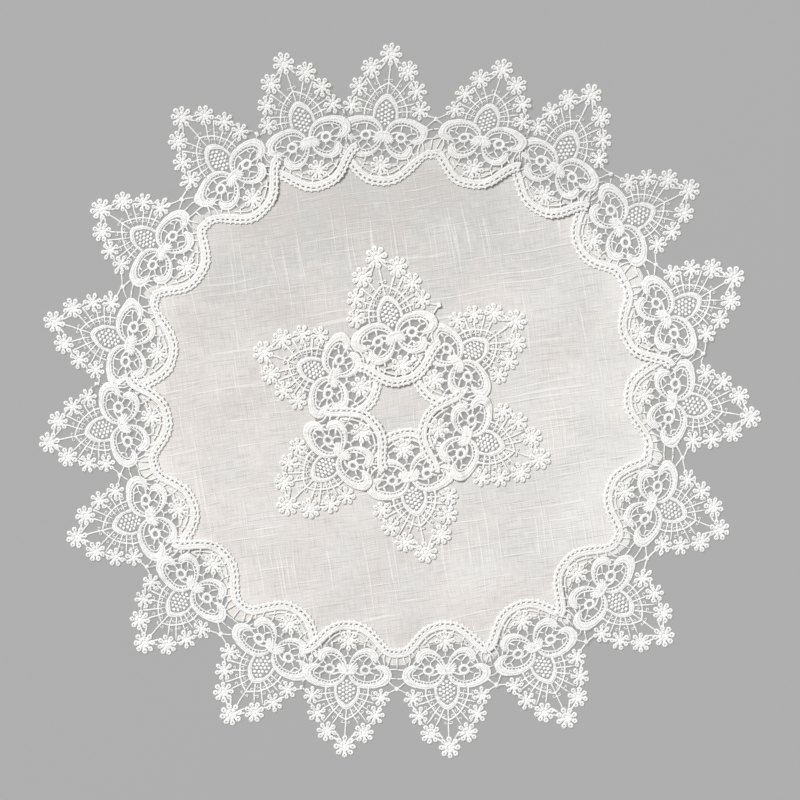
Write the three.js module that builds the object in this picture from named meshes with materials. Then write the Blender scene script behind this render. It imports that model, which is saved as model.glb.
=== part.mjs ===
// Round lace tablecloth: a round of slub linen whose scalloped rim is trimmed with guipure lace, sewn on in
// cut lengths, and whose middle is let out behind a star of six points of the same lace.
// Millimetres, +Z up. The origin is the middle of the underside. The cloth lies flat, with the tips of the
// lace down on the surface around it, and each length of lace laps over the next one clockwise.
import * as THREE from 'three';
import { mergeVertices } from 'three/addons/utils/BufferGeometryUtils.js';

// Sheets, and how the lace lies on them
const LINEN_THICK = 1;
const LACE_THICK = 1;
const PIECE_GAP = 0.35;
const LACE_SEAT = LINEN_THICK + PIECE_GAP;
const LEVEL_RADIUS = 238; // the border lace lies level out to here, clear of the linen
const DOWN_RADIUS = 294; // and has come down to the surface here
const BORDER_TILT = 0.024; // rise per millimetre across the last point of a length, towards its lap
const STAR_LAP_RISE = LACE_THICK + PIECE_GAP; // every other point of the star lies over its neighbours
const STAR_LAP_V = { level: 34, down: 75 }; // and comes down to the linen between here and its tip

// One point of the lace, from the knot between its wings: u runs clockwise across it, v out to its tip
const HALF_REPEAT = 41.7;
const POINT_REACH = 65; // knot to tip daisy as worked; each point below is stretched or eased a little
const BRAID = { bottom: -42.2, rise: 26.8, valley: -20, width: 7.4, steps: 5 };
const SCALLOP_ROUNDNESS = 1.35; // over 1, the scallops are broader than the valleys between them
const BASE_DAISY = { u: 0, v: -24.6 };
const WING_RING = { u: 14.8, v: -0.7 };
const BUD_MIDDLE = { u: 0, v: 20 };
const WING_END = { u: 30.3, v: 3, radius: 7.2, angles: [50, 0, -50] };
const WING_NOTCH = { u: 32.5, v: -6 };
const NET_KNOT_V = 18; // height of the net's small knot between two points of one length

// Edge daisies from the tip down the clockwise side: place, radius, how many petals, the angle of the first
// one that stands clear of the net, and how many of them do
const EDGE_DAISIES = [
  { u: 0, v: POINT_REACH, radius: 9.3, petals: 8, first: 90, clear: 3 },
  { u: 15.4, v: 51.8, radius: 8.7, petals: 8, first: 80, clear: 3 },
  { u: 24.2, v: 37.2, radius: 7.9, petals: 7, first: 50, clear: 3 },
  { u: 28.7, v: 22.5, radius: 7.6, petals: 7, first: 64, clear: 3 },
];
const PETAL_HALF_WIDTH = 10;
const PETAL_NOTCH = 0.6; // depth of the notch between petals, as a share of the daisy's radius

// Larger gaps of the clockwise half: sectors about a middle, from one angle and reach to another
const SIDE_GAPS = [
  { about: WING_RING, from: 36, to: 85, inner: 5.4, outerFrom: 9.6, outerTo: 9.4 },
  { about: WING_RING, from: -12, to: 17, inner: 6.4, outerFrom: 13, outerTo: 13.4 },
  { about: BUD_MIDDLE, from: 72, to: 87.4, inner: 22, outerFrom: 27, outerTo: 35.4 },
  { about: BASE_DAISY, from: 10, to: 45, inner: 9.2, outerFrom: 13.4, outerTo: 12.8 },
  { about: BASE_DAISY, from: 52, to: 84, inner: 9, outerFrom: 12.6, outerTo: 12.8 },
];
const MIDDLE_GAPS = [
  { about: BASE_DAISY, from: 82, to: 98, inner: 14.4, outerFrom: 19.6, outerTo: 19.6 },
];

// Gaps of the net between two points of one length, by their heights, and their share of the way across
const BRIDGE_GAPS = [
  { low: 6.6, high: 12.4 },
  { low: -2, high: 4.6 },
];
const BRIDGE_SHARE = 0.2;

// The border, clockwise: length number, angle and radius of the knot, lean of the point's axis off the radius,
// turn of its wings, and its reach
const BORDER_POINTS = [
  { length: 1, angle: 168.1, knot: 230.0, lean: -4.9, turn: -1.4, reach: 65.6 },
  { length: 1, angle: 147.5, knot: 234.3, lean: -1.3, turn: -2.0, reach: 61.8 },
  { length: 1, angle: 126.4, knot: 233.0, lean: 5.0, turn: 7.8, reach: 65.8 },
  { length: 2, angle: 109.2, knot: 228.9, lean: -1.2, turn: -0.8, reach: 69.0 },
  { length: 3, angle: 93.4, knot: 221.5, lean: -8.8, turn: -8.2, reach: 68.8 },
  { length: 3, angle: 72.5, knot: 228.0, lean: 1.4, turn: 7.0, reach: 62.2 },
  { length: 4, angle: 55.9, knot: 234.2, lean: 9.2, turn: 6.0, reach: 68.2 },
  { length: 5, angle: 38.6, knot: 234.0, lean: -11.2, turn: -13.4, reach: 66.5 },
  { length: 5, angle: 17.4, knot: 232.8, lean: 13.4, turn: 12.6, reach: 66.5 },
  { length: 6, angle: 0.0, knot: 227.8, lean: -11.6, turn: -11.0, reach: 66.4 },
  { length: 6, angle: -21.9, knot: 227.0, lean: 0.2, turn: 0.8, reach: 60.8 },
  { length: 6, angle: -43.2, knot: 230.2, lean: 7.2, turn: 6.6, reach: 65.2 },
  { length: 7, angle: -61.2, knot: 234.0, lean: -4.2, turn: -4.4, reach: 65.0 },
  { length: 8, angle: -80.1, knot: 227.6, lean: -7.4, turn: -7.6, reach: 64.6 },
  { length: 8, angle: -100.9, knot: 228.0, lean: 8.8, turn: 8.6, reach: 64.0 },
  { length: 9, angle: -117.0, knot: 231.2, lean: -5.8, turn: -6.0, reach: 65.6 },
  { length: 9, angle: -138.0, knot: 230.6, lean: 6.8, turn: 5.2, reach: 62.8 },
  { length: 10, angle: -155.1, knot: 229.0, lean: -9.4, turn: -9.2, reach: 63.8 },
  { length: 10, angle: -175.2, knot: 231.4, lean: 9.0, turn: 10.4, reach: 63.2 },
];
const BORDER_LENGTHS = 10;

// The star, clockwise about its own middle, and whether the point lies over its neighbours
const STAR_MIDDLE = new THREE.Vector2(0.8, -5);
const STAR_POINTS = [
  { angle: 94.3, knot: 59.3, lean: 9.0, turn: 12.0, reach: 68.0, over: true },
  { angle: 38.2, knot: 61.0, lean: -2.4, turn: -1.4, reach: 60.0, over: false },
  { angle: -23.9, knot: 60.9, lean: 7.0, turn: 5.8, reach: 63.5, over: true },
  { angle: -82.2, knot: 59.1, lean: 4.4, turn: 4.2, reach: 64.0, over: false },
  { angle: -142.5, knot: 63.1, lean: 6.8, turn: 7.2, reach: 62.0, over: true },
  { angle: 155.5, knot: 61.6, lean: 5.0, turn: 6.0, reach: 62.0, over: false },
];

// Linen edges: the shallow scallops of the rim, the cut-out in the middle, and the centre piece left there,
// which reaches further under two of the star's points than under the others
const RIM = { bottom: -22, rise: 22, valley: -3.5 };
const RIM_STEPS = 5;
const CUT_OUT = { radius: 80.5, wave: 9.5, waves: 6, turn: 96, extra: 0, towards: 0, sides: 48 };
const CENTRE_PIECE = { radius: 30, wave: 2, waves: 6, turn: 66, extra: 12, towards: 70, sides: 36 };

// Colours from the cloth as it lies: warm white linen and whiter cotton lace
const linenMaterial = new THREE.MeshStandardMaterial({ color: 0xdfdbd6, roughness: 0.95, metalness: 0 });
const laceMaterial = new THREE.MeshStandardMaterial({ color: 0xf3f2ee, roughness: 0.9, metalness: 0 });

const radians = THREE.MathUtils.degToRad;

function polar(middle, radius, angle) {
  const turn = radians(angle);
  return { u: middle.u + radius * Math.cos(turn), v: middle.v + radius * Math.sin(turn) };
}

function mirrored(points) {
  return points.map(({ u, v }) => ({ u: -u, v })).reverse();
}

function direction(angle) {
  return new THREE.Vector2(Math.cos(radians(angle)), Math.sin(radians(angle)));
}

// A point's own axes on the cloth: at takes u and v to the cloth's x and y, the others measure back
function placed({ angle, knot, lean, turn, reach }, middle = new THREE.Vector2()) {
  const out = direction(angle + lean);
  const across = direction(angle + turn - 90);
  const origin = direction(angle).multiplyScalar(knot).add(middle);
  const stretch = reach / POINT_REACH;
  const at = ({ u, v }) => {
    const along = v > 0 ? v * stretch : v;
    return origin.clone().addScaledVector(across, u).addScaledVector(out, along);
  };
  const acrossAt = (place) => place.clone().sub(origin).dot(across);
  const outAt = (place) => place.clone().sub(origin).dot(out);
  return { at, acrossAt, outAt };
}

// The outline of a point
function scallop({ bottom, rise, valley }, u) {
  const share = Math.min(1, Math.abs(u) / HALF_REPEAT) ** SCALLOP_ROUNDNESS;
  return Math.min(valley, bottom + rise * Math.sin((Math.PI / 2) * share) ** 2);
}

function petalRim({ u, v, radius, petals, first, clear }, onAxis) {
  const rim = [];
  const pitch = 360 / petals;
  for (let petal = 0; petal < clear; petal += 1) {
    const angle = first - petal * pitch;
    const halfOnly = onAxis && petal === 0;
    if (!halfOnly) rim.push(polar({ u, v }, radius, angle + PETAL_HALF_WIDTH));
    rim.push(polar({ u, v }, radius, angle - PETAL_HALF_WIDTH));
    const last = petal === clear - 1;
    if (!last) rim.push(polar({ u, v }, radius * PETAL_NOTCH, angle - pitch / 2));
  }
  return rim;
}

const flowerEdge = EDGE_DAISIES.flatMap((daisy) => petalRim(daisy, daisy.u === 0));

const cutEnd = [
  ...WING_END.angles.map((angle) => polar(WING_END, WING_END.radius, angle)),
  WING_NOTCH,
  { u: HALF_REPEAT - BRAID.width / 2, v: scallop(BRAID, HALF_REPEAT) + BRAID.width },
];

function braidRun(fromStep, toStep) {
  const run = [];
  const way = Math.sign(toStep - fromStep);
  for (let step = fromStep; step !== toStep + way; step += way) {
    const u = (HALF_REPEAT * step) / BRAID.steps;
    run.push({ u, v: scallop(BRAID, u) });
  }
  return run;
}

function gapOutline({ about, from, to, inner, outerFrom, outerTo }) {
  return [
    polar(about, inner, from),
    polar(about, outerFrom, from),
    polar(about, (outerFrom + outerTo) / 2, (from + to) / 2),
    polar(about, outerTo, to),
    polar(about, inner, to),
  ];
}

const sideGaps = SIDE_GAPS.map(gapOutline);
const pointGaps = [...sideGaps, ...sideGaps.map(mirrored), ...MIDDLE_GAPS.map(gapOutline)];

// A flat sheet between two heights, then raised point by point
function sheet(outline, gaps, thickness, heightAt) {
  const shape = new THREE.Shape(outline);
  shape.holes = gaps.map((gap) => new THREE.Path(gap));
  const extruded = new THREE.ExtrudeGeometry(shape, { depth: thickness, bevelEnabled: false });
  extruded.deleteAttribute('normal');
  extruded.deleteAttribute('uv');
  const geometry = mergeVertices(extruded, PIECE_GAP / 1000);
  const place = geometry.getAttribute('position');
  for (let i = 0; i < place.count; i += 1) {
    const spot = new THREE.Vector2(place.getX(i), place.getY(i));
    place.setZ(i, place.getZ(i) + heightAt(spot));
  }
  geometry.computeVertexNormals();
  return geometry;
}

// One length of lace: out along the flowered edge, over the net between points, and back along the braid
function laceOutline(points) {
  const last = points.length - 1;
  const between = (i, v) => {
    const here = points[i].at({ u: HALF_REPEAT, v });
    const next = points[i + 1].at({ u: -HALF_REPEAT, v });
    return here.add(next).multiplyScalar(0.5);
  };
  const outline = mirrored(cutEnd).map(points[0].at);
  points.forEach((point, i) => {
    outline.push(...mirrored(flowerEdge).map(point.at), ...flowerEdge.map(point.at));
    if (i < last) outline.push(between(i, NET_KNOT_V));
  });
  outline.push(...cutEnd.map(points[last].at));
  for (let i = last; i >= 0; i -= 1) {
    const fromStep = i === last ? BRAID.steps : BRAID.steps - 1;
    const toStep = i === 0 ? -BRAID.steps : 1 - BRAID.steps;
    outline.push(...braidRun(fromStep, toStep).map(points[i].at));
    if (i > 0) outline.push(between(i - 1, scallop(BRAID, HALF_REPEAT)));
  }
  return outline;
}

function bridgeGap(point, next, { low, high }) {
  const side = WING_END.u + WING_END.radius;
  const across = (v, share) => point.at({ u: side, v }).lerp(next.at({ u: -side, v }), share);
  return [
    across(high, BRIDGE_SHARE),
    across(low, BRIDGE_SHARE),
    across(low, 1 - BRIDGE_SHARE),
    across(high, 1 - BRIDGE_SHARE),
  ];
}

function laceGaps(points) {
  const gaps = points.flatMap((point) => pointGaps.map((gap) => gap.map(point.at)));
  points.slice(1).forEach((next, i) => {
    BRIDGE_GAPS.forEach((row) => gaps.push(bridgeGap(points[i], next, row)));
  });
  return gaps;
}

// How far down a slope from one place to another: 1 before it, 0 past it
function slopeShare(place, level, down) {
  return THREE.MathUtils.clamp((down - place) / (down - level), 0, 1);
}

// Heights of the lace's underside. The last point of a border length tilts up towards the end that laps
function borderHeight(lastPoint) {
  return (spot) => {
    const seat = LACE_SEAT * slopeShare(spot.length(), LEVEL_RADIUS, DOWN_RADIUS);
    const lap = BORDER_TILT * (lastPoint.acrossAt(spot) + HALF_REPEAT);
    return seat + Math.max(0, lap);
  };
}

function starHeight(point, over) {
  if (!over) return () => LACE_SEAT;
  const { level, down } = STAR_LAP_V;
  return (spot) => LACE_SEAT + STAR_LAP_RISE * slopeShare(point.outAt(spot), level, down);
}

// Linen outlines
function waveRing({ radius, wave, waves, turn, extra, towards, sides }) {
  const ring = [];
  for (let side = 0; side < sides; side += 1) {
    const angle = (2 * Math.PI * side) / sides;
    const facing = (1 + Math.cos(angle - radians(towards))) / 2;
    const reach = radius + wave * Math.cos(waves * (angle - radians(turn))) + extra * facing ** 3;
    ring.push(new THREE.Vector2(reach * Math.cos(angle), reach * Math.sin(angle)).add(STAR_MIDDLE));
  }
  return ring;
}

// The rim follows each point's braid as far as half way to its neighbour
function linenRim(points) {
  const knots = points.map((point) => point.at({ u: 0, v: 0 }));
  return points.flatMap((point, i) => {
    const before = knots[i].distanceTo(knots.at(i - 1)) / 2;
    const after = knots[i].distanceTo(knots[(i + 1) % knots.length]) / 2;
    const rim = [];
    for (let step = 1 - RIM_STEPS; step < RIM_STEPS; step += 1) {
      const u = ((step < 0 ? before : after) * step) / RIM_STEPS;
      rim.push(point.at({ u, v: scallop(RIM, u) }));
    }
    return rim;
  });
}

// Assembly
const tablecloth = new THREE.Group();

function addPiece(name, geometry, material) {
  const piece = new THREE.Mesh(geometry, material);
  piece.name = name;
  tablecloth.add(piece);
}

const borderPoints = BORDER_POINTS.map((row) => placed(row));
const onSurface = () => 0;
addPiece(
  'linen_ground',
  sheet(linenRim(borderPoints), [waveRing(CUT_OUT)], LINEN_THICK, onSurface),
  linenMaterial,
);
addPiece('linen_centre', sheet(waveRing(CENTRE_PIECE), [], LINEN_THICK, onSurface), linenMaterial);

for (let length = 1; length <= BORDER_LENGTHS; length += 1) {
  const points = borderPoints.filter((_, i) => BORDER_POINTS[i].length === length);
  const geometry = sheet(laceOutline(points), laceGaps(points), LACE_THICK, borderHeight(points.at(-1)));
  addPiece(`border_lace_${length}`, geometry, laceMaterial);
}

STAR_POINTS.forEach((row, i) => {
  const point = placed(row, STAR_MIDDLE);
  const geometry = sheet(laceOutline([point]), laceGaps([point]), LACE_THICK, starHeight(point, row.over));
  addPiece(`star_point_${i + 1}`, geometry, laceMaterial);
});

export default tablecloth;
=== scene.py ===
# Round lace tablecloth: a round of slub linen with a border of guipure lace in lapped lengths, and a star of
# the same lace let into its middle. Metres, +Z up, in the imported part's frame. Sizes are in millimetres,
# apart from flat sizes and those of the studio.
import math
from collections import namedtuple

import bmesh
import bpy
import numpy as np
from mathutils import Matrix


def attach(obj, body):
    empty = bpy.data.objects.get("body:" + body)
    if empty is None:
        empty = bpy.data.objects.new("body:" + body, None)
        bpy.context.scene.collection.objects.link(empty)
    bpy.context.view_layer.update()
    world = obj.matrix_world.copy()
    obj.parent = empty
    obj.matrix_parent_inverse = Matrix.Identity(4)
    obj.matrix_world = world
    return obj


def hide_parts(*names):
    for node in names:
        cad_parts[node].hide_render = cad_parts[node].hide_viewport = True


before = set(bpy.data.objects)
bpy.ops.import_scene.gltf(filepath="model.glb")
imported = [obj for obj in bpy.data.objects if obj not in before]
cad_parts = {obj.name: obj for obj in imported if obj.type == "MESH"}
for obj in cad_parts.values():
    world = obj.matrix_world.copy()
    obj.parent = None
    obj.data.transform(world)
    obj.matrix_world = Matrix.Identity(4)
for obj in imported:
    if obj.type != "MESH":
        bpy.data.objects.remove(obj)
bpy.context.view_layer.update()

# Linen ground
# A round of slub linen, plain woven from yarns of uneven thickness, with a shallow scallop cut behind each
# point of the border. It lies on the table in faint ripples, and the lace is sewn down over its raw rim.
MM = 0.001
LINEN_THICK = 0.6
LINEN_RINGS = 36
RIM = {"bottom": -22, "rise": 24, "roundness": 1.9}
RIM_STEPS = 12
RAW_EDGE = {"depth": 0.5, "fine": 2.1, "coarse": 0.7}
EDGE_TURN = 0.3
CUT_OUT = {"radius": 80.5, "wave": 9.5, "waves": 6, "turn": 96}
BULGE_SHARPNESS = 3
STAR_MIDDLE = np.array([0.8, -5.0])
HALF_REPEAT = 41.7
POINT_REACH = 65
VALLEY_BEND = 0.45
Ripple = namedtuple("Ripple", "height across along start")
RIPPLES = [
    Ripple(0.26, 0.047, 0.026, 0.4),
    Ripple(0.20, -0.033, 0.066, 1.9),
    Ripple(0.12, 0.104, -0.058, 4.1),
]
RIPPLES_END = {"radius": 226, "over": 40}

# Columns: the cut length a point belongs to, its angle round the cloth, its knot's distance from the middle,
# the turns of its middle line and of its width, its reach, and the linen's reach in the valley after it.
Place = namedtuple("Place", "length angle knot lean turn reach tab", defaults=[-4.0])
BORDER = [
    Place(1, 168.1, 230.0, -4.9, -1.4, 65.6, -7.5),
    Place(1, 147.5, 234.3, -1.3, -2.0, 61.8, -6.0),
    Place(1, 126.4, 233.0, 5.0, 7.8, 65.8),
    Place(2, 109.2, 228.9, -1.2, -0.8, 69.0),
    Place(3, 93.4, 221.5, -8.8, -8.2, 68.8, -0.2),
    Place(3, 72.5, 228.0, 1.4, 7.0, 62.2),
    Place(4, 55.9, 234.2, 9.2, 6.0, 68.2),
    Place(5, 38.6, 234.0, -11.2, -13.4, 66.5, 3.3),
    Place(5, 17.4, 232.8, 13.4, 12.6, 66.5),
    Place(6, 0.0, 227.8, -11.6, -11.0, 66.4, -5.9),
    Place(6, -21.9, 227.0, 0.2, 0.8, 60.8, -5.9),
    Place(6, -43.2, 230.2, 7.2, 6.6, 65.2),
    Place(7, -61.2, 234.0, -4.2, -4.4, 65.0),
    Place(8, -80.1, 227.6, -7.4, -7.6, 64.6, -5.2),
    Place(8, -100.9, 228.0, 8.8, 8.6, 64.0),
    Place(9, -117.0, 231.2, -5.8, -6.0, 65.6, -2.5),
    Place(9, -138.0, 230.6, 6.8, 5.2, 62.8),
    Place(10, -155.1, 229.0, -9.4, -9.2, 63.8, -1.0),
    Place(10, -175.2, 231.4, 9.0, 10.4, 63.2),
]


def direction(angle):
    return np.array([math.cos(math.radians(angle)), math.sin(math.radians(angle))])


def ease(share):
    share = np.clip(share, 0, 1)
    return share * share * (3 - 2 * share)


def scallop(bottom, rise, roundness, valley, u):
    """A scallop's edge, which climbs from its bottom and is rounded off below the valley to the next one."""
    share = np.minimum(1, np.abs(u) / HALF_REPEAT) ** roundness
    climb = bottom + rise * np.sin(math.pi / 2 * share) ** 2
    return -np.logaddexp(-VALLEY_BEND * climb, -VALLEY_BEND * valley) / VALLEY_BEND


def ripple(x, y):
    height = sum(r.height * (1 + np.sin(r.across * x + r.along * y + r.start)) for r in RIPPLES)
    return height * ease((RIPPLES_END["radius"] - np.hypot(x, y)) / RIPPLES_END["over"])


class Lie:
    """How one point of lace lies: u runs clockwise across it, and v from its knot out to its tip."""

    def __init__(self, place, middle=np.zeros(2)):
        self.across = direction(place.angle + place.turn - 90)
        self.out = direction(place.angle + place.lean)
        self.knot = middle + place.knot * direction(place.angle)
        self.stretch = place.reach / POINT_REACH

    def at(self, u, v):
        along = np.where(v > 0, v * self.stretch, v)
        return self.knot + np.outer(u, self.across) + np.outer(along, self.out)


border_lies = [Lie(place) for place in BORDER]


def linen_rim():
    rim = []
    for i, lie in enumerate(border_lies):
        before = np.linalg.norm(lie.knot - border_lies[i - 1].knot) / 2
        after = np.linalg.norm(lie.knot - border_lies[(i + 1) % len(border_lies)].knot) / 2
        steps = np.arange(1 - RIM_STEPS, RIM_STEPS)
        u = np.where(steps < 0, before, after) * steps / RIM_STEPS
        fine = np.sin(RAW_EDGE["fine"] * u + 3 * i)
        coarse = np.sin(RAW_EDGE["coarse"] * u + i)
        frayed = RAW_EDGE["depth"] * fine * coarse
        tab = np.where(steps < 0, BORDER[i - 1].tab, BORDER[i].tab)
        rim.append(lie.at(u, scallop(**RIM, valley=tab, u=u) + frayed))
    return np.vstack(rim)


def wave_ring(radius, wave, waves, turn, angles, extra=0, towards=0):
    """A waved ring round the middle of the star, with an extra bulge towards one side."""
    facing = (1 + np.cos(angles - math.radians(towards))) / 2
    bulge = extra * facing**BULGE_SHARPNESS
    reach = radius + wave * np.cos(waves * (angles - math.radians(turn))) + bulge
    return STAR_MIDDLE + reach[:, None] * np.column_stack([np.cos(angles), np.sin(angles)])


def outlined(bm, outline):
    loop = bmesh.ops.create_circle(bm, segments=len(outline), radius=1)["verts"]
    for vert, (x, y) in zip(loop, outline):
        vert.co = (x * MM, y * MM, 0)
    return loop


def laid_sheet(name, bm):
    bmesh.ops.inset_region(bm, faces=bm.faces[:], thickness=EDGE_TURN * MM, use_boundary=True)
    for vert in bm.verts:
        vert.co.z = float(ripple(vert.co.x / MM, vert.co.y / MM)) * MM
    bmesh.ops.recalc_face_normals(bm, faces=bm.faces)
    if sum(face.normal.z for face in bm.faces) < 0:
        bmesh.ops.reverse_faces(bm, faces=bm.faces)
    for face in bm.faces:
        face.smooth = True
    mesh = bpy.data.meshes.new(name)
    bm.to_mesh(mesh)
    bm.free()
    sheet = bpy.data.objects.new(name, mesh)
    bpy.context.collection.objects.link(sheet)
    body = sheet.modifiers.new("linen thickness", "SOLIDIFY")
    body.thickness = LINEN_THICK * MM
    body.offset = 1
    return sheet


rim = linen_rim()
from_star = rim - STAR_MIDDLE
rim_angles = np.arctan2(from_star[:, 1], from_star[:, 0])
bm = bmesh.new()
outlined(bm, rim)
cut_loop = outlined(bm, wave_ring(**CUT_OUT, angles=rim_angles))
inside = set(cut_loop)
bmesh.ops.bridge_loops(bm, edges=bm.edges[:])
crossing = [edge for edge in bm.edges if (edge.verts[0] in inside) != (edge.verts[1] in inside)]
bmesh.ops.subdivide_edges(bm, edges=crossing, cuts=LINEN_RINGS)
linen_ground = laid_sheet("slub_linen_ground", bm)


class Shade:
    """One value of a finish. Its operators add Math nodes, and node adds any other kind."""

    def __init__(self, tree, socket=None):
        self.tree = tree
        self.socket = socket

    def node(self, kind, settings, inputs, output=0):
        made = self.tree.nodes.new(kind)
        for name, value in settings.items():
            setattr(made, name, value)
        for name, value in inputs.items():
            if isinstance(value, Shade):
                self.tree.links.new(value.socket, made.inputs[name])
            else:
                made.inputs[name].default_value = value
        return Shade(self.tree, made.outputs[output])

    def maths(self, operation, first, second=0.0):
        return self.node("ShaderNodeMath", {"operation": operation}, {0: first, 1: second})

    def __add__(self, other):
        return self.maths("ADD", self, other)

    def __sub__(self, other):
        return self.maths("SUBTRACT", self, other)

    def __mul__(self, other):
        return self.maths("MULTIPLY", self, other)

    __radd__ = __add__
    __rmul__ = __mul__

    def __rsub__(self, other):
        return self.maths("SUBTRACT", other, self)

    def sine(self):
        return self.maths("SINE", self)

    def between(self, low, high):
        limits = {"Value": self, "From Min": low, "From Max": high}
        return self.node("ShaderNodeMapRange", {"interpolation_type": "SMOOTHSTEP"}, limits)

    def blend(self, first, second):
        colours = {"Factor": self, 6: first, 7: second}
        return self.node("ShaderNodeMix", {"data_type": "RGBA"}, colours, 2)


CLOTH_SHINE = 0.2
CLOTH_SHEEN = 0.05


def cloth_finish(name, roughness):
    material = bpy.data.materials.new(name)
    material.use_nodes = True
    shader = material.node_tree.nodes["Principled BSDF"]
    shader.inputs["Roughness"].default_value = roughness
    shader.inputs["Specular IOR Level"].default_value = CLOTH_SHINE
    shader.inputs["Sheen Weight"].default_value = CLOTH_SHEEN
    return material, shader, Shade(material.node_tree)


LINEN_ROUGH = 0.95
WEAVE_TURN = -9.0
YARN_PITCH = 0.8
YARN_DRIFT = {"scale": 0.014, "by": 7}
SLUB = {"long": 85, "wide": 2.0}
SLUB_SHOWS = (0.67, 0.74)
THIN_PLACE = {"long": 30, "wide": 1.3, "in_warp": 0.5}
THIN_SHOWS = (0.66, 0.76)
UNEVEN = {"long": 12, "wide": 0.8, "in_weft": 1.1, "in_warp": 0.9}
CLOUD = {"along": 60, "across": 46}
TINT_PATCH = {"along": 38, "across": 52}
TINT_SHOWS = (0.35, 0.65)
TINT_SHARE = 0.3
FULLNESS = {"plain": 0.47, "uneven": 0.64, "slubs": 0.38, "thin": -0.28, "clouds": 0.7, "crossings": 0.10}
LINEN_RAISED = {"uneven": 0.7, "slubs": 0.9, "thin": -0.6, "crossings": 0.5}
LINEN_BUMP = 0.55
BUMP_DEPTH = 0.3
# Painted light and shade: the linen's colour is made darker towards the top and lighter towards the right.
PAINTED_LIGHT_ALONG = (0.00040, 0.0000052)
PAINTED_LIGHT_ACROSS = (-0.0013, -0.0000066)
# Painted light: the linen's rim inside the scallops is made lighter where the braid shades it.
RIM_PAINTED_LIGHT = {"from": 192, "to": 206, "by": 0.22}
CHALKIER_ALONG = 0.0007
LINEN_THIN = (0.470, 0.450, 0.427, 1)
LINEN_FULL = (0.795, 0.762, 0.733, 1)
LINEN_ROSY = (0.715, 0.675, 0.655, 1)
LINEN_CHALKY = (0.680, 0.688, 0.676, 1)

linen_finish, shader, start = cloth_finish("slub linen", LINEN_ROUGH)
where = start.node("ShaderNodeTexCoord", {}, {}, 3)
turned = start.node(
    "ShaderNodeMapping",
    {},
    {"Vector": where, "Rotation": (0, 0, math.radians(WEAVE_TURN)), "Scale": (1 / MM, 1 / MM, 1 / MM)},
)
drift = start.node(
    "ShaderNodeTexNoise", {}, {"Vector": turned, "Scale": YARN_DRIFT["scale"], "Detail": 1.0}, 1
)
centred = start.node("ShaderNodeVectorMath", {"operation": "SUBTRACT"}, {0: drift, 1: (0.5, 0.5, 0.5)})
wandering = start.node(
    "ShaderNodeVectorMath",
    {"operation": "MULTIPLY_ADD"},
    {0: centred, 1: (YARN_DRIFT["by"], YARN_DRIFT["by"], 0), 2: turned},
)
along = start.node("ShaderNodeSeparateXYZ", {}, {0: wandering}, 0)
across = start.node("ShaderNodeSeparateXYZ", {}, {0: wandering}, 1)


def streaks(x_length, y_length, layer, detail=0.0):
    """Uneven light and dark, drawn out along the two ways of the weave. Each layer has its own pattern."""
    spot = start.node(
        "ShaderNodeCombineXYZ", {}, {0: along * (1 / x_length), 1: across * (1 / y_length), 2: layer}
    )
    return start.node("ShaderNodeTexNoise", {}, {"Vector": spot, "Scale": 1.0, "Detail": detail})


weft_slubs = streaks(SLUB["long"], SLUB["wide"], 2).between(*SLUB_SHOWS)
warp_slubs = streaks(SLUB["wide"], SLUB["long"], 5).between(*SLUB_SHOWS)
slubs = weft_slubs + warp_slubs
thin_weft = streaks(THIN_PLACE["long"], THIN_PLACE["wide"], 20).between(*THIN_SHOWS)
thin_warp = streaks(THIN_PLACE["wide"], THIN_PLACE["long"], 23).between(*THIN_SHOWS)
thin_places = thin_weft + THIN_PLACE["in_warp"] * thin_warp
uneven_weft = streaks(UNEVEN["long"], UNEVEN["wide"], 8)
uneven_warp = streaks(UNEVEN["wide"], UNEVEN["long"], 11)
uneven = UNEVEN["in_weft"] * uneven_weft + UNEVEN["in_warp"] * uneven_warp - 1.0
clouds = streaks(CLOUD["along"], CLOUD["across"], 14, 2.0) - 0.5
crossing_yarns = (along * (math.pi / YARN_PITCH)).sine() * (across * (math.pi / YARN_PITCH)).sine()
# Painted light and shade in the linen's colour: darker towards the top, lighter towards the right, and
# lighter on the rim inside the scallops.
painted_light = along * (PAINTED_LIGHT_ALONG[0] + PAINTED_LIGHT_ALONG[1] * along)
painted_light = painted_light + across * (PAINTED_LIGHT_ACROSS[0] + PAINTED_LIGHT_ACROSS[1] * across)
from_middle = start.maths("SQRT", along * along + across * across)
painted_light = painted_light + RIM_PAINTED_LIGHT["by"] * from_middle.between(RIM_PAINTED_LIGHT["from"], RIM_PAINTED_LIGHT["to"])
fullness = FULLNESS["plain"] + FULLNESS["uneven"] * uneven + FULLNESS["slubs"] * slubs
fullness = fullness + FULLNESS["thin"] * thin_places + FULLNESS["clouds"] * clouds + painted_light
fullness = fullness + FULLNESS["crossings"] * crossing_yarns
rosy = streaks(TINT_PATCH["along"], TINT_PATCH["across"], 17, 1.0) - CHALKIER_ALONG * along
tint = rosy.between(*TINT_SHOWS).blend(LINEN_CHALKY, LINEN_ROSY)
plain = fullness.blend(LINEN_THIN, LINEN_FULL)
tinted = start.node("ShaderNodeMix", {"data_type": "RGBA"}, {"Factor": TINT_SHARE, 6: plain, 7: tint}, 2)
raised = LINEN_RAISED["crossings"] * crossing_yarns + LINEN_RAISED["slubs"] * slubs
raised = raised + LINEN_RAISED["thin"] * thin_places + LINEN_RAISED["uneven"] * uneven
bump = start.node(
    "ShaderNodeBump", {}, {"Strength": LINEN_BUMP, "Distance": BUMP_DEPTH * MM, "Height": raised}
)
linen_finish.node_tree.links.new(tinted.socket, shader.inputs["Base Color"])
linen_finish.node_tree.links.new(bump.socket, shader.inputs["Normal"])
linen_ground.data.materials.append(linen_finish)
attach(linen_ground, "root")
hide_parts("linen_ground")

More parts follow.
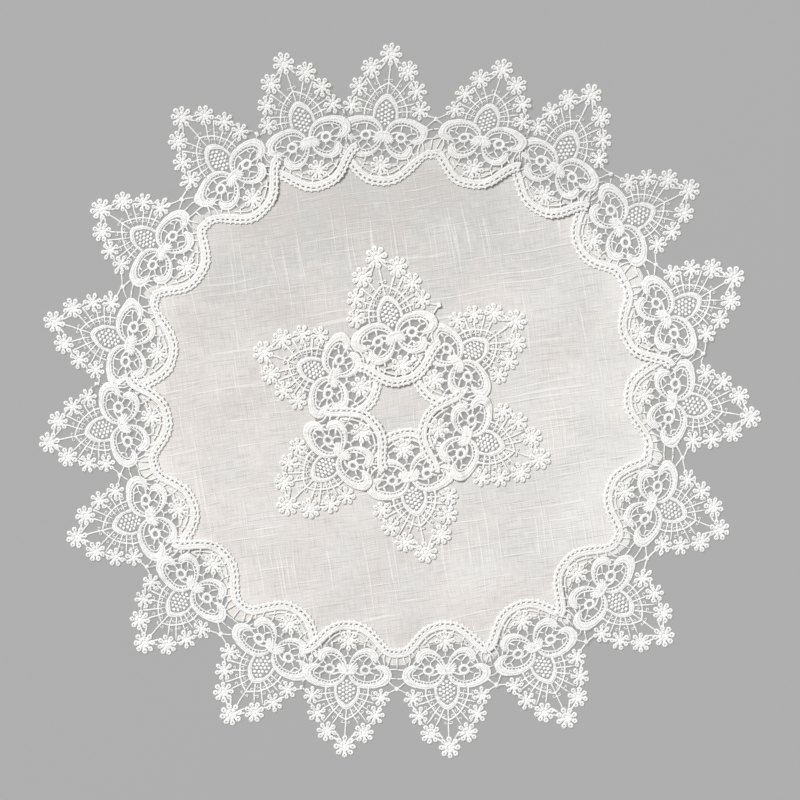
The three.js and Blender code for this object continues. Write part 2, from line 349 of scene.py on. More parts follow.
# Linen centre
# The small six-sided piece of the same linen left in the middle of the cut-out, held all round by the inner
# braid of the star's points, which are sewn over its edge.
CENTRE_PIECE = {"radius": 30, "wave": 2, "waves": 6, "turn": 66, "extra": 12, "towards": 70}
CENTRE_SIDES = 72
CENTRE_RINGS = 7

bm = bmesh.new()
outlined(bm, wave_ring(**CENTRE_PIECE, angles=np.arange(CENTRE_SIDES) * 2 * math.pi / CENTRE_SIDES))
whole = bmesh.ops.contextual_create(bm, geom=bm.edges[:])["faces"]
hub = bmesh.ops.poke(bm, faces=whole)["verts"][0]
bmesh.ops.subdivide_edges(bm, edges=hub.link_edges[:], cuts=CENTRE_RINGS)
linen_centre = laid_sheet("slub_linen_centre", bm)
linen_centre.data.materials.append(linen_finish)
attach(linen_centre, "root")
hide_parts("linen_centre")

# Lace thread
# Guipure: cotton thread worked by machine over a ground that is washed away. Every bar, cord and satin band
# is a run of stitches, round where it is thin and pressed flat where it is wide.
LACE_HALF_THICK = 0.5
SECTIONS = {
    4: (0, 90, 180, 270),
    5: (0, 55, 125, 180, 270),
    6: (0, 45, 90, 135, 180, 270),
}
DOT_RINGS = [(0.7, 0.72), (1.0, 0.05)]
DOT_FOOT = -0.4


class LaceWork:
    """Worked threads of one part of the repeat, as points, the thread's core beside each, and faces."""

    def __init__(self):
        self.points = []
        self.cores = []
        self.stitches = []
        self.faces = []
        self.count = 0

    def add(self, points, cores, stitches, faces):
        self.points.append(points)
        self.cores.append(cores)
        self.stitches.append(stitches)
        self.faces.extend([corner + self.count for corner in face] for face in faces)
        self.count += len(points)

    def thread(self, rows, half=None, closed=False, steps=3, sides=5, lift=0.0):
        """One thread along rows of u, v and half width. Threads that cross have different lifts."""
        path = smooth_path(rows, half, closed, steps)
        ahead = np.roll(path, -1, 0) - np.roll(path, 1, 0)
        if not closed:
            ahead[0] = path[1] - path[0]
            ahead[-1] = path[-1] - path[-2]
        ahead = ahead[:, :2] / np.maximum(np.linalg.norm(ahead[:, :2], axis=1), 1e-6)[:, None]
        side = np.column_stack([-ahead[:, 1], ahead[:, 0]])
        round_angles = np.radians(SECTIONS[sides])
        width = path[:, 2, None] * np.cos(round_angles)
        rise = np.minimum(path[:, 2], LACE_HALF_THICK)[:, None] * np.sin(round_angles) + lift
        u = path[:, 0, None] + side[:, 0, None] * width
        v = path[:, 1, None] + side[:, 1, None] * width
        gone = np.cumsum(np.linalg.norm(np.diff(path[:, :2], axis=0, prepend=path[:1, :2]), axis=1))
        if closed:
            gone = np.minimum(gone, gone[-1] + np.linalg.norm(path[-1, :2] - path[0, :2]) - gone)
        rings = len(path)
        faces = []
        for ring in range(rings if closed else rings - 1):
            here, there = ring * sides, (ring + 1) % rings * sides
            for s in range(sides):
                t = (s + 1) % sides
                faces.append((here + s, here + t, there + t, there + s))
        if not closed:
            faces.append(tuple(range(sides - 1, -1, -1)))
            faces.append(tuple(range((rings - 1) * sides, rings * sides)))
        points = np.column_stack([u.ravel(), v.ravel(), rise.ravel()])
        self.add(points, np.repeat(path[:, :2], sides, axis=0), np.repeat(gone, sides), faces)

    def both(self, rows, *settings, **named):
        self.thread(rows, *settings, **named)
        self.thread([(-row[0], *row[1:]) for row in rows], *settings, **named)

    def dot(self, u, v, radius, high, sides=6):
        turn = np.arange(sides) * 2 * math.pi / sides
        rings = [
            np.column_stack(
                [u + radius * out * np.cos(turn), v + radius * out * np.sin(turn), np.full(sides, up * high)]
            )
            for out, up in DOT_RINGS
        ]
        points = np.vstack([[(u, v, high)], *rings, [(u, v, DOT_FOOT)]])
        top, bottom = 0, 1 + 2 * sides
        faces = []
        for s in range(sides):
            t = (s + 1) % sides
            faces.append((top, 1 + s, 1 + t))
            faces.append((1 + s, 1 + sides + s, 1 + sides + t, 1 + t))
            faces.append((bottom, 1 + sides + t, 1 + sides + s))
        self.add(points, np.tile((u, v), (len(points), 1)), np.zeros(len(points)), faces)


def smooth_path(rows, half, closed, steps):
    rows = np.array([(*row[:2], half if half else row[2]) for row in rows], float)
    if closed:
        guide = np.vstack([rows[-1:], rows, rows[:2]])
    else:
        guide = np.vstack([2 * rows[:1] - rows[1:2], rows, 2 * rows[-1:] - rows[-2:-1]])
    t = np.arange(steps)[:, None] / steps
    runs = []
    for a, b, c, d in zip(guide, guide[1:], guide[2:], guide[3:]):
        curve = 2 * b + (c - a) * t + (2 * a - 5 * b + 4 * c - d) * t**2 + (3 * b - a - 3 * c + d) * t**3
        runs.append(curve / 2)
    if not closed:
        runs.append(rows[-1:])
    return np.vstack(runs)


# Flowered edge
# Seven small daisies down the two sides of a point and one inside its scallop. Each petal is a padded stem
# that ends in an eyelet, and neighbours are linked.
Daisy = namedtuple("Daisy", "u v radius petals first")
TIP_DAISY = Daisy(0, 64.5, 9.6, 8, 90)
BASE_DAISY = Daisy(0, -24.8, 9.4, 8, 90)
SIDE_DAISIES = [
    Daisy(15.4, 52.5, 8.9, 8, 81),
    Daisy(24.4, 37.3, 8.3, 7, 48),
    Daisy(28.6, 22.2, 8.0, 7, 64),
]
DAISY_RADIUS = 9.4
DAISY_MIDDLE = (2.0, 0.56)
PETAL_STEM = [(0.04, 1.05), (0.36, 1.65), (0.66, 2.1)]
STEM_LIFT = {"first": -0.1, "each": -0.01}
EYELET = {"long": 1.5, "wide": 1.32, "half": 1.1, "sides": 8}
DAISY_LINKS = [
    [(4.6, 60.4), (10.4, 57.0)],
    [(4.2, 58.2), (7.6, 53.4)],
    [(20.0, 45.0), (23.6, 43.4)],
    [(18.6, 43.6), (20.4, 41.2)],
    [(27.0, 31.2), (30.2, 28.4)],
]
LINK_THREAD = 0.8
LINK_LIFT = -0.1

point_work = LaceWork()


def daisy(work, flower, side=1):
    size = flower.radius / DAISY_RADIUS
    eyelet_at = flower.radius - (EYELET["long"] + EYELET["half"]) * size
    turns = np.arange(EYELET["sides"]) * 2 * math.pi / EYELET["sides"]
    stem = [(out * flower.radius, 0, half * size) for out, half in PETAL_STEM]
    eyelet = [
        (
            eyelet_at + EYELET["long"] * size * math.cos(turn),
            EYELET["wide"] * size * math.sin(turn),
            EYELET["half"] * size,
        )
        for turn in turns
    ]
    for petal in range(flower.petals):
        angle = math.radians(flower.first + petal * 360 / flower.petals)
        stem_lift = STEM_LIFT["first"] + STEM_LIFT["each"] * petal
        for rows, closed, lift in ((stem, False, stem_lift), (eyelet, True, 0)):
            placed = [
                (
                    side * (flower.u + out * math.cos(angle) - aside * math.sin(angle)),
                    flower.v + out * math.sin(angle) + aside * math.cos(angle),
                    half,
                )
                for out, aside, half in rows
            ]
            work.thread(placed, closed=closed, steps=1, lift=lift)
    work.dot(side * flower.u, flower.v, *DAISY_MIDDLE)


daisy(point_work, TIP_DAISY)
daisy(point_work, BASE_DAISY)
for flower in SIDE_DAISIES:
    daisy(point_work, flower, 1)
    daisy(point_work, flower, -1)
for link in DAISY_LINKS:
    point_work.both(link, LINK_THREAD, steps=2, lift=LINK_LIFT)

# Net of the point
# An arched cord over the bud, knotted where straight bars cross it on their way from the bud out to the
# daisies, with a hook of thread from a bar into most of the cells.
ARCH = [(0, 41.7), (5, 39), (10, 34.6), (13.75, 29.6), (16.25, 24.6), (17.5, 20), (17.7, 14.6)]
ARCH_BARS = [
    [(3.3, 32.6), (7.0, 39.6), (11.3, 46.7)],
    [(6.4, 29.6), (12.2, 36.9), (18.6, 44.6)],
    [(8.0, 26.6), (13.4, 29.8), (19.6, 33.4)],
    [(9.2, 23.0), (16.6, 25.4), (24.2, 27.5)],
    [(9.8, 19.0), (16.6, 20.2), (23.3, 20.8)],
]
CENTRE_BAR = [(0, 57), (0.15, 49), (0, 41.7), (0, 32)]
OUTER_HOOKS = [(3.6, 44.6), (10.3, 39.6), (14.4, 35.0), (18.2, 29.6), (20.6, 23.4), (20.8, 17.4)]
INNER_HOOKS = [(3.3, 37.2), (6.9, 34.2), (10.2, 30.4), (12.2, 26.6), (13.4, 22.4), (14.0, 17.2)]
HOOK = [(0, 0), (1.5, 0.2), (2.7, -0.3), (3.3, 0.6), (2.8, 1.5), (1.8, 1.3)]
ARCH_THREAD = 0.78
BAR_THREAD = 0.68
HOOK_THREAD = 0.42
ARCH_KNOT = (1.2, 0.62)
ARCH_LIFT = 0.05
BAR_LIFT = -0.06
CENTRE_BAR_LIFT = -0.1
FINE_STEPS = 12

point_work.both(ARCH, ARCH_THREAD, lift=ARCH_LIFT)
point_work.thread(CENTRE_BAR, BAR_THREAD, lift=CENTRE_BAR_LIFT)
arch_path = smooth_path(ARCH, ARCH_THREAD, False, FINE_STEPS)[:, :2]
bar_paths = [smooth_path(bar, BAR_THREAD, False, FINE_STEPS)[:, :2] for bar in ARCH_BARS + [CENTRE_BAR]]
for bar, bar_path in zip(ARCH_BARS, bar_paths):
    point_work.both(bar, BAR_THREAD, steps=2, lift=BAR_LIFT)
    apart = np.linalg.norm(bar_path[:, None] - arch_path[None], axis=2)
    u, v = bar_path[np.argmin(apart.min(axis=1))]
    point_work.dot(u, v, *ARCH_KNOT)
    point_work.dot(-u, v, *ARCH_KNOT)
point_work.dot(*ARCH[0], *ARCH_KNOT)
points_on_bars = np.vstack(bar_paths)
for i, cell in enumerate(OUTER_HOOKS + INNER_HOOKS):
    foot = points_on_bars[np.argmin(np.linalg.norm(points_on_bars - cell, axis=1))]
    away = (cell - foot) / np.linalg.norm(cell - foot)
    sideways = np.array([-away[1], away[0]]) * (1 if i % 2 else -1)
    hook = [tuple(foot + out * away + aside * sideways) for out, aside in HOOK]
    point_work.both(hook, HOOK_THREAD, steps=2, sides=4)

# Bud
# A pointed bud in a broad satin band, filled with small raised dots on a fine lattice.
BUD_SIDE = [
    (9.6, 13.6, 1.2),
    (9.6, 17.4, 1.2),
    (9.1, 20.6, 1.25),
    (8.0, 23.9, 1.55),
    (5.6, 27.3, 1.85),
    (2.8, 29.9, 2.1),
]
BUD_TIP = [(0, 31.1, 2.2)]
BAND_CORDS = {-0.64: 0.0, 0.0: 0.2, 0.64: 0.0}
BAND_STITCH = 1.7
BAND_STEPS = 4
BAND_SWELL = (0.37, 0.47)
DOT_COLUMNS = {
    0: (26.0, 22.5, 18.9, 15.8, 12.3, 9.2),
    2.9: (24.1, 20.7, 17.1, 13.9, 10.7),
    5.8: (19.1, 15.6),
}
DOT_RADIUS = 1.4
DOT_HIGH = 0.62
LATTICE_THREAD = 0.25
LATTICE = {"reach": 7.4, "slope": 0.58}
LATTICE_RISE = {"below": 29, "per": 1.2}
LATTICE_FALL = {"above": 7.4, "per": 0.9}


def beside(band, share):
    """Rows of u, v and half width along a band, moved to its left by a share of its half width."""
    rows = smooth_path(band, None, False, BAND_STEPS)
    ahead = np.gradient(rows[:, :2], axis=0)
    ahead /= np.linalg.norm(ahead, axis=1)[:, None]
    shift = np.column_stack([-ahead[:, 1], ahead[:, 0]]) * rows[:, 2:] * share
    return np.column_stack([rows[:, :2] + shift, rows[:, 2]])


def beaded(rows, pitch, thin, thick):
    """A cord along rows of u, v and half width, which swells from one share of the half width to another."""
    gone = np.cumsum(np.linalg.norm(np.diff(rows[:, :2], axis=0, prepend=rows[:1, :2]), axis=1))
    beads = max(1, round(gone[-1] / pitch))
    along = np.linspace(0, gone[-1], 2 * beads + 1)
    u, v, half = (np.interp(along, gone, column) for column in rows.T)
    return list(zip(u, v, half * np.where(np.arange(2 * beads + 1) % 2, thick, thin)))


bud_band = BUD_SIDE + BUD_TIP + [(-u, v, half) for u, v, half in reversed(BUD_SIDE)]
for share, lift in BAND_CORDS.items():
    point_work.thread(beaded(beside(bud_band, share), BAND_STITCH, *BAND_SWELL), steps=1, lift=lift)
for column, heights in DOT_COLUMNS.items():
    for v in heights:
        for u in {column, -column}:
            point_work.dot(u, v, DOT_RADIUS, DOT_HIGH)
middle_dots = DOT_COLUMNS[0]
for v in middle_dots[:-1]:
    reach = min(LATTICE["reach"], (LATTICE_RISE["below"] - v) * LATTICE_RISE["per"])
    point_work.both([(0, v), (reach, v + reach * LATTICE["slope"])], LATTICE_THREAD, steps=1, sides=4)
for v in middle_dots:
    reach = min(LATTICE["reach"], (v - LATTICE_FALL["above"]) * LATTICE_FALL["per"])
    point_work.both([(0, v), (reach, v - reach * LATTICE["slope"])], LATTICE_THREAD, steps=1, sides=4)

# Wings
# Two pairs of wings spread from the knot. Each is a padded satin crescent with a finer cord inside it, tied
# by single stitches that leave a row of pinholes, and the upper pair holds a ring on bars of thread.
UPPER_WING = [
    (1.6, 3.2, 1.0),
    (4.3, 8.0, 1.35),
    (8.8, 11.6, 1.65),
    (15.0, 13.1, 1.95),
    (22.1, 12.4, 2.25),
    (28.2, 10.1, 2.75),
    (32.2, 7.0, 3.35),
    (33.7, 2.9, 3.6),
    (32.5, -0.6, 3.35),
    (29.6, -2.8, 2.5),
    (26.4, -3.5, 1.8),
    (23.6, -2.9, 1.0),
    (21.4, -1.7, 0.5),
]
UPPER_CORD = [
    (3.9, 2.9),
    (7.2, 6.5),
    (11.9, 8.9),
    (16.4, 9.4),
    (20.8, 8.6),
    (25.1, 7.0),
    (27.6, 4.7),
    (28.3, 2.1),
    (27.3, -0.3),
    (25.0, -1.5),
]
LOWER_WING = [
    (1.5, -2.6, 0.8),
    (2.4, -7.2, 0.85),
    (5.4, -11.9, 1.3),
    (10.0, -15.4, 1.85),
    (15.6, -16.7, 2.4),
    (20.2, -15.1, 3.05),
    (22.6, -12.0, 2.9),
    (23.2, -9.2, 2.0),
    (22.9, -6.9, 0.8),
]
LOWER_CORD = [
    (3.5, -3.2),
    (5.1, -6.8),
    (8.3, -10.2),
    (12.5, -12.5),
    (16.6, -12.7),
    (19.4, -10.8),
    (20.4, -8.4),
    (20.2, -6.4),
]
CORD_THREAD = 0.68
CORD_LIFT = 0.04
RING = {"u": 14.8, "v": -0.6, "wide": 3.65, "high": 3.2, "half": 1.4, "step": 30}
WING_BARS = [
    [(14.5, 2.6), (14.6, 9.6)],
    [(23.4, 3.4), (18.6, 0.8)],
    [(23.4, 3.4), (22.2, 8.4)],
    [(23.4, 3.4), (27.6, 3.2)],
    [(10.6, -1.2), (6.4, -1.7)],
    [(18.4, -1.4), (21.6, -2.4)],
    [(12.9, -3.6), (12.9, -7.2)],
    [(12.9, -7.2), (8.0, -10.6)],
    [(12.9, -7.2), (17.8, -12.6)],
    [(16.8, -3.4), (20.6, -7.4)],
    [(20.4, -6.6), (24.8, -4.2)],
]
WING_BAR_THREAD = 0.68
WING_BAR_LIFT = -0.09
RING_ARC = [(15.0, 3.3, 0.8), (10.4, 3.4, 0.95), (4.6, 0.8, 0.9)]
RING_ARC_LIFT = -0.04
WING_TIE = {"pitch": 2.5, "half": 0.58, "lift": -0.06, "steps": 8}

for band in (UPPER_WING, LOWER_WING):
    for share, lift in BAND_CORDS.items():
        point_work.both(beaded(beside(band, share), BAND_STITCH, *BAND_SWELL), steps=1, lift=lift)
for cord, band in ((UPPER_CORD, UPPER_WING), (LOWER_CORD, LOWER_WING)):
    point_work.both(cord, CORD_THREAD, lift=CORD_LIFT)
    inner = smooth_path(cord, CORD_THREAD, False, WING_TIE["steps"])
    outer = smooth_path(band, None, False, WING_TIE["steps"])
    gone = np.cumsum(np.linalg.norm(np.diff(inner[:, :2], axis=0, prepend=inner[:1, :2]), axis=1))
    for tied_at in np.arange(WING_TIE["pitch"], gone[-1], WING_TIE["pitch"]):
        tie = inner[np.argmin(np.abs(gone - tied_at)), :2]
        hold = outer[np.argmin(np.linalg.norm(outer[:, :2] - tie, axis=1)), :2]
        ends = [tuple(tie), tuple(hold)]
        point_work.both(ends, WING_TIE["half"], steps=1, sides=4, lift=WING_TIE["lift"])
for bar in WING_BARS:
    point_work.both(bar, WING_BAR_THREAD, steps=2, lift=WING_BAR_LIFT)
point_work.both(RING_ARC, lift=RING_ARC_LIFT)
ring_path = [
    (RING["u"] + RING["wide"] * math.cos(turn), RING["v"] + RING["high"] * math.sin(turn))
    for turn in np.radians(np.arange(0, 360, RING["step"]))
]
point_work.both(ring_path, RING["half"], closed=True, steps=2, sides=6)

# Knot
# The four wings and the bud are drawn together by a bow of two fans, worked over them in raised satin.
FAN_FINGERS = [
    [(0, 1.8, 1.1), (4.2, 1.3, 1.0), (7.6, 0.0, 0.5)],
    [(0, 1.3, 1.1), (4.8, -0.1, 1.1), (9.0, -2.3, 0.7)],
    [(0, 0.8, 1.1), (4.8, -1.5, 1.2), (8.8, -4.4, 0.85)],
    [(0, 0.3, 1.1), (4.2, -2.6, 1.2), (7.4, -6.0, 0.8)],
    [(0, -0.2, 1.1), (2.6, -3.2, 1.0), (4.8, -6.6, 0.55)],
]
BOW_BAND = [(-6.0, 2.0, 0.7), (-2.6, 2.5, 1.3), (0, 2.4, 1.6), (2.6, 2.5, 1.3), (6.0, 2.0, 0.7)]
BOW_TAIL = [(0, 1.6, 1.6), (0, -1.6, 1.5), (0, -5.0, 0.9)]
BOW_LIFT = {"fan": 0.25, "tail": 0.2, "band": 0.4}

for finger in FAN_FINGERS:
    point_work.both(finger, sides=6, lift=BOW_LIFT["fan"])
point_work.thread(BOW_TAIL, sides=6, lift=BOW_LIFT["tail"])
point_work.thread(BOW_BAND, sides=6, lift=BOW_LIFT["band"])

# Inside of the scallop
# Short bars hold the base daisy between the lower wings and the braid, and one long thread follows the
# braid's side of it.
SCALLOP_BARS = [
    [(3.1, -11.0), (0, -12.3), (0, -16.2)],
    [(6.2, -18.4), (8.4, -15.6)],
    [(13.4, -17.8), (13.9, -23.2)],
    [(13.9, -23.2), (8.6, -24.6)],
    [(13.9, -23.2), (17.4, -29.8)],
    [(6.4, -31.0), (8.6, -34.2)],
    [(21.6, -17.2), (24.2, -23.6)],
    [(24.6, -12.0), (29.2, -17.0)],
    [(27.6, -4.6), (25.2, -9.0)],
    [(31.4, -4.0), (29.6, -9.8), (31.0, -16.0)],
    [(0, -31.9), (4.8, -31.4), (9.6, -29.6), (14.2, -26.4), (18.6, -22.0)],
]
SCALLOP_BAR_LIFT = -0.07

for bar in SCALLOP_BARS:
    point_work.both(bar, WING_BAR_THREAD, steps=2, lift=SCALLOP_BAR_LIFT)

# Braid
# The heading that is sewn to the linen: three plaited cords, the two on the lace's side laid close, and a
# row of slots before the third, whose edge has a picot at every tie. It runs in one scallop for each point.
BRAID = {"bottom": -37.9, "rise": 26.8, "roundness": 1.35, "valley": -16.0}
Cord = namedtuple("Cord", "aside thin thick")
BRAID_CORDS = [Cord(-2.9, 1.4, 1.6), Cord(-1.0, 1.2, 1.4), Cord(2.2, 1.1, 1.3)]
BRAID_STITCH = 1.5
BRAID_STEPS = 161
SLOT_PITCH = 4.3
TIE_HALF = 1.75
TIE_ASIDE = (-0.6, 1.8)
PICOT = {"aside": 3.0, "radius": 1.2, "high": 0.45}


def braid(first_u, last_u):
    work = LaceWork()
    u = np.linspace(first_u, last_u, BRAID_STEPS)
    line = np.column_stack([u, scallop(**BRAID, u=u)])
    slope = np.gradient(line, axis=0)
    slope /= np.linalg.norm(slope, axis=1)[:, None]
    to_linen = np.column_stack([slope[:, 1], -slope[:, 0]])
    gone = np.cumsum(np.linalg.norm(np.diff(line, axis=0, prepend=line[:1]), axis=1))
    for cord in BRAID_CORDS:
        rows = np.column_stack([line + cord.aside * to_linen, np.ones(len(line))])
        work.thread(beaded(rows, BRAID_STITCH, cord.thin, cord.thick), steps=1, sides=6)
    slots = round(gone[-1] / SLOT_PITCH)
    for slot in range(slots):
        spot = np.argmin(np.abs(gone - (slot + 0.5) * gone[-1] / slots))
        tie = [tuple(line[spot] + aside * to_linen[spot]) for aside in TIE_ASIDE]
        work.thread(tie, TIE_HALF, steps=1, sides=4)
        work.dot(*(line[spot] + PICOT["aside"] * to_linen[spot]), PICOT["radius"], PICOT["high"])
    return work


# Net between points
# One point is joined to the next by a small square knot on four arms and a ladder of bars between the wing
# ends. Where two lengths are lapped, the halves of the net that each one keeps meet at the lap.
NET_ARMS = [[(41.7, 14.4), (37.6, 16.0), (33.4, 18.6)], [(41.7, 13.6), (39.4, 12.2), (34.2, 8.0)]]
NET_BARS = [
    [(41.8, 5.5), (35.2, 5.2)],
    [(41.8, -2.4), (39.6, -2.3), (33.8, -1.8)],
    [(36.4, -13.4), (32.8, -4.0)],
]
NET_POST = [(41.7, -2.4), (41.7, -12.8)]
NET_KNOT = [(41.7, 15.9, 1.5), (41.7, 15.2, 1.9), (41.7, 12.8, 1.9), (41.7, 12.1, 1.5)]
NET_THREAD = 0.62
NET_LIFT = -0.05


def net(bars, side=1, knotted=True):
    work = LaceWork()
    for bar in bars:
        work.thread([(side * u, v) for u, v in bar], NET_THREAD, steps=2, lift=NET_LIFT)
    if knotted:
        work.thread(NET_KNOT, steps=1, sides=6)
    return work


net_before = net(NET_ARMS + NET_BARS, side=-1, knotted=False)
net_after = net(NET_ARMS + NET_BARS + [NET_POST])

# Border lace
# The edging is cut into lengths of one to three points and sewn round the linen, the clockwise end of each
# length lapped over the start of the next. Past the linen's rim it comes down to the table.
LAP = 1.12
LAP_RISE = {"before": 20, "over": 10}
COMES_DOWN = {"radius": 222, "over": 24}
LACE_CLEAR = 0.05
LAPPED_START = -35.0
LAPPING_END = 37.5
BLEND_FROM = 30.0
NET_BLEND_FROM = 36.0
LACE_ROUGH = 0.9
LACE_WHITE = (0.945, 0.943, 0.938, 1)
LACE_OVER_LINEN = (0.935, 0.92, 0.892, 1)
LACE_SHADED = (0.75, 0.745, 0.728, 1)
LACE_LIT = {"plain": 0.62, "ribs": 0.3, "loose": 2.2}
LACE_RAISED = {"ribs": 0.6, "grain": 0.8, "loose": 1.5}
LACE_BUMP = 0.7
GRAIN_SCALE = 900.0
LOOSE_SCALE = 420.0
LINEN_SHOWS = (225 * MM, 195 * MM)
# Painted shade: the lace is made darker towards the top of the cloth.
TOP_SHADE = {"towards": (0.14, 0.99), "from": 140 * MM, "to": 220 * MM, "by": 0.58}
STITCH_PITCH = 1.1
STITCH_SHIFT = 3
Wander = namedtuple("Wander", "size across along start")
WANDERS = [Wander(0.12, 0.21, 0.13, 0.3), Wander(0.1, -0.17, 0.26, 2.2), Wander(0.15, 0.83, -0.62, 4.0)]

lace_finish, shader, start = cloth_finish("guipure lace", LACE_ROUGH)
along_thread = start.node("ShaderNodeAttribute", {"attribute_name": "stitch"}, {}, 2)
where = start.node("ShaderNodeTexCoord", {}, {}, 3)
grain = start.node("ShaderNodeTexNoise", {}, {"Vector": where, "Scale": GRAIN_SCALE, "Detail": 2.0})
loose = start.node("ShaderNodeTexNoise", {}, {"Vector": where, "Scale": LOOSE_SCALE, "Detail": 1.0})
ribs = (along_thread * (2 * math.pi / STITCH_PITCH) + STITCH_SHIFT * grain).sine()
x = start.node("ShaderNodeSeparateXYZ", {}, {0: where}, 0)
y = start.node("ShaderNodeSeparateXYZ", {}, {0: where}, 1)
over_linen = start.maths("SQRT", x * x + y * y).between(*LINEN_SHOWS)
# Painted shade: the lace's colour is pushed towards its shaded tone towards the top.
top_shade = (TOP_SHADE["towards"][0] * x + TOP_SHADE["towards"][1] * y).between(TOP_SHADE["from"], TOP_SHADE["to"])
lit = LACE_LIT["plain"] + LACE_LIT["ribs"] * ribs + LACE_LIT["loose"] * (loose - 0.5)
lit = lit - TOP_SHADE["by"] * top_shade
colour = lit.blend(LACE_SHADED, over_linen.blend(LACE_WHITE, LACE_OVER_LINEN))
raised = LACE_RAISED["ribs"] * ribs + LACE_RAISED["grain"] * grain + LACE_RAISED["loose"] * loose
bump = start.node(
    "ShaderNodeBump", {}, {"Strength": LACE_BUMP, "Distance": BUMP_DEPTH * MM, "Height": raised}
)
lace_finish.node_tree.links.new(colour.socket, shader.inputs["Base Color"])
lace_finish.node_tree.links.new(bump.socket, shader.inputs["Normal"])


def worked(name, parts):
    """One piece of lace from its parts, each a work and the places where its points lie."""
    points, stitches, faces, count = [], [], [], 0
    for work, places in parts:
        points.append(places)
        stitches.append(np.concatenate(work.stitches))
        faces.extend([corner + count for corner in face] for face in work.faces)
        count += work.count
    mesh = bpy.data.meshes.new(name)
    mesh.from_pydata(np.vstack(points) * MM, [], faces)
    mesh.polygons.foreach_set("use_smooth", [len(face) <= 4 for face in faces])
    mesh.attributes.new("stitch", "FLOAT", "POINT").data.foreach_set("value", np.concatenate(stitches))
    mesh.materials.append(lace_finish)
    piece = bpy.data.objects.new(name, mesh)
    bpy.context.collection.objects.link(piece)
    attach(piece, "root")
    return piece


def wander(flat):
    x, y = flat.T
    shift_x = sum(w.size * np.sin(w.across * x + w.along * y + w.start) for w in WANDERS)
    shift_y = sum(w.size * np.sin(w.along * x - w.across * y + 2 * w.start) for w in WANDERS)
    return flat + np.column_stack([shift_x, shift_y])


def lap_rise(flat, cut_angle):
    """Height of a lap, from how far clockwise the place lies of the line where two lengths meet."""
    past = flat @ direction(cut_angle - 90)
    return LAP * ease((past + LAP_RISE["before"]) / LAP_RISE["over"])


def linen_seat(flat):
    return LINEN_THICK + ripple(*flat.T)


def border_part(work, i, bridging=False):
    """A work laid on one point of the border. Its sides swing over to the neighbours it is joined to."""
    u, v, height = np.vstack(work.points).T
    flat = border_lies[i].at(u, v)
    for step in (1, -1):
        j = (i + step) % len(BORDER)
        joined = BORDER[j].length == BORDER[i].length
        if joined or bridging:
            blend_from = BLEND_FROM if joined else NET_BLEND_FROM
            share = 0.5 * ease((step * u - blend_from) / (HALF_REPEAT - blend_from))[:, None]
            flat = flat * (1 - share) + share * border_lies[j].at(u - 2 * step * HALF_REPEAT, v)
    flat = wander(flat)
    past_rim = np.linalg.norm(flat, axis=1) - COMES_DOWN["radius"]
    z = linen_seat(flat) * (1 - ease(past_rim / COMES_DOWN["over"]))
    after = BORDER[(i + 1) % len(BORDER)]
    if after.length != BORDER[i].length:
        gap = (BORDER[i].angle - after.angle) % 360
        z = z + lap_rise(flat, BORDER[i].angle - gap / 2)
    return work, np.column_stack([flat, z + height + LACE_HALF_THICK + LACE_CLEAR])


for length in range(1, max(place.length for place in BORDER) + 1):
    in_length = [i for i, place in enumerate(BORDER) if place.length == length]
    parts = []
    for i in in_length:
        first_u = LAPPED_START if i == in_length[0] else -HALF_REPEAT
        last_u = LAPPING_END if i == in_length[-1] else HALF_REPEAT
        parts.append(border_part(point_work, i))
        parts.append(border_part(braid(first_u, last_u), i))
        parts.append(border_part(net_before, i, bridging=True))
        parts.append(border_part(net_after, i, bridging=True))
    piece = worked(f"guipure_border_{length}", parts)
    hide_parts(f"border_lace_{length}")

# Star lace
# Six single points cut from the same edging and sewn in a ring, tips outward, over the edge of the cut-out.
# Every other point lies over the near sides of its two neighbours, and the top one keeps a loose end of net.
STAR = [
    Place(1, 94.3, 59.3, 9.0, 12.0, 68.0),
    Place(2, 38.2, 61.0, -2.4, -1.4, 60.0),
    Place(3, -23.9, 60.9, 7.0, 5.8, 63.5),
    Place(4, -82.2, 59.1, 4.4, 4.2, 64.0),
    Place(5, -142.5, 63.1, 6.8, 7.2, 62.0),
    Place(6, 155.5, 61.6, 5.0, 6.0, 62.0),
]
STAR_BRAID = {"over": 36.0, "under": 34.0}
STAR_FULLER = {"by": 0.8, "fades_over": 0.6}
STAR_LAP = {"starts": 12.0, "full": 22.0, "inward": 0.6, "outward": 2.0}
NET_LEFT_ON = 1


def lies_over(place):
    return place.length % 2 == 1


def star_part(work, place, fuller=0.0):
    """A work laid on the star, with its thin threads made fuller by a share that fades as they widen."""
    points = np.vstack(work.points)
    height = points[:, 2]
    cores = np.vstack(work.cores)
    beside_core = points[:, :2] - cores
    thin = np.exp(-np.linalg.norm(beside_core, axis=1) / STAR_FULLER["fades_over"])
    u, v = (cores + beside_core * (1 + fuller * thin)[:, None]).T
    flat = wander(Lie(place, STAR_MIDDLE).at(u, v))
    z = linen_seat(flat)
    if lies_over(place):
        aside = np.abs(u) - np.where(v < 0, STAR_LAP["inward"], STAR_LAP["outward"]) * v
        z = z + LAP * ease((aside - STAR_LAP["starts"]) / (STAR_LAP["full"] - STAR_LAP["starts"]))
    return work, np.column_stack([flat, z + height + LACE_HALF_THICK + LACE_CLEAR])


for place in STAR:
    reach = STAR_BRAID["over" if lies_over(place) else "under"]
    parts = [star_part(point_work, place, STAR_FULLER["by"]), star_part(braid(-reach, reach), place)]
    if place.length == NET_LEFT_ON:
        parts.append(star_part(net(NET_ARMS), place))
    piece = worked(f"guipure_star_{place.length}", parts)
    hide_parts(f"star_point_{place.length}")

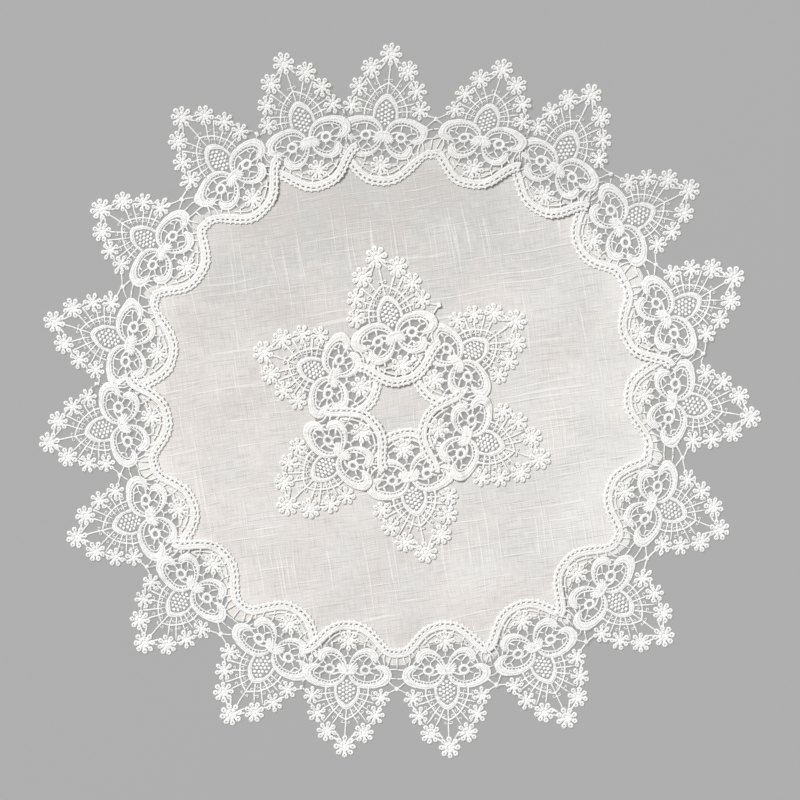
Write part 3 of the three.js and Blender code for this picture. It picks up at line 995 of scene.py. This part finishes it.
# Floor, light and camera
# A plain grey studio sheet under soft light, one broad lamp from the upper left, seen from straight above.
FLOOR_GREY = (0.13, 0.13, 0.13, 1)
FLOOR_GLOW = 0.275
FLOOR_HALF = 16.0
LENS = 100.0
FRAME_WIDTH = 666.64 * MM
LOOK_AT = (0.42 * MM, 1.25 * MM)
LAMP_PLACE = (-14.7, 14.7, 20.2)
LAMP_SIZE = 10.1
LAMP_WATTS = 10140.0
SKY = 0.375

bm = bmesh.new()
bmesh.ops.create_grid(bm, x_segments=1, y_segments=1, size=FLOOR_HALF)
floor_mesh = bpy.data.meshes.new("floor")
bm.to_mesh(floor_mesh)
bm.free()
floor = bpy.data.objects.new("floor", floor_mesh)
bpy.context.collection.objects.link(floor)
floor_finish = bpy.data.materials.new("grey studio sheet")
floor_finish.use_nodes = True
floor_shader = floor_finish.node_tree.nodes["Principled BSDF"]
floor_shader.inputs["Base Color"].default_value = FLOOR_GREY
floor_shader.inputs["Roughness"].default_value = 1.0
floor_shader.inputs["Specular IOR Level"].default_value = 0.0
floor_shader.inputs["Emission Color"].default_value = (1, 1, 1, 1)
floor_shader.inputs["Emission Strength"].default_value = FLOOR_GLOW
floor_mesh.materials.append(floor_finish)

lamp_data = bpy.data.lights.new("soft lamp", "AREA")
lamp_data.energy = LAMP_WATTS
lamp_data.size = LAMP_SIZE
lamp = bpy.data.objects.new("soft lamp", lamp_data)
lamp.location = LAMP_PLACE
bpy.context.collection.objects.link(lamp)
aim = lamp.constraints.new("TRACK_TO")
aim.target = floor
aim.track_axis = "TRACK_NEGATIVE_Z"
aim.up_axis = "UP_Y"

world = bpy.data.worlds.new("studio")
world.use_nodes = True
world.node_tree.nodes["Background"].inputs["Color"].default_value = (1, 1, 1, 1)
world.node_tree.nodes["Background"].inputs["Strength"].default_value = SKY
bpy.context.scene.world = world
bpy.context.scene.view_settings.view_transform = "Standard"

camera_data = bpy.data.cameras.new("camera")
camera_data.lens = LENS
camera = bpy.data.objects.new("camera", camera_data)
camera.location = (*LOOK_AT, FRAME_WIDTH * LENS / camera_data.sensor_width)
bpy.context.collection.objects.link(camera)
bpy.context.scene.camera = camera
